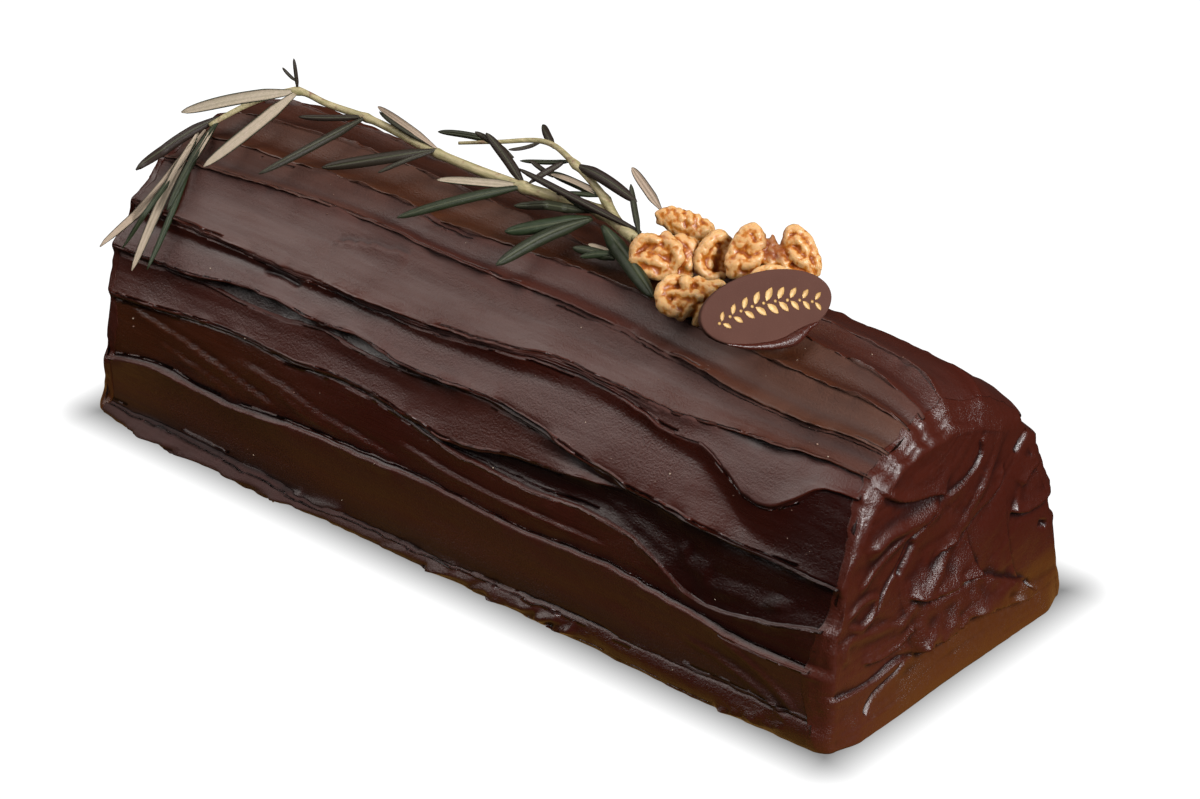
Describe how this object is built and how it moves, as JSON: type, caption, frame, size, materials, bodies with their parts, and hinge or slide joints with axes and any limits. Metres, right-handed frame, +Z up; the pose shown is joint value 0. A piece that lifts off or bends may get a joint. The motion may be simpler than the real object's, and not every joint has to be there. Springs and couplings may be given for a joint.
{
  "type": "yule log cake",
  "caption": "Chocolate yule log cake with palette knife ridges, topped with glazed walnuts, a rosemary sprig and a small oval plaque.",
  "frame": {"origin": "middle of the flat underside that the log rests on", "axes": "+X along the log towards the end with the arcing strokes, -Y the front long side, +Z up"},
  "size_m": [0.259, 0.1048, 0.0975],
  "materials": {
    "ganache": "satin chocolate ganache",
    "rosemary": "matt needle leaves, pale beneath",
    "walnut": "glazed walnut",
    "plaque_chocolate": "matt chocolate",
    "gold_trim": "edible gold"
  },
  "bodies": {
    "root": {"log_cake": "ganache", "rosemary_sprig": "rosemary", "walnut_1": "walnut", "walnut_2": "walnut", "walnut_3": "walnut", "walnut_4": "walnut", "walnut_5": "walnut", "walnut_6": "walnut", "plaque": "plaque_chocolate"}
  },
  "joints": []
}
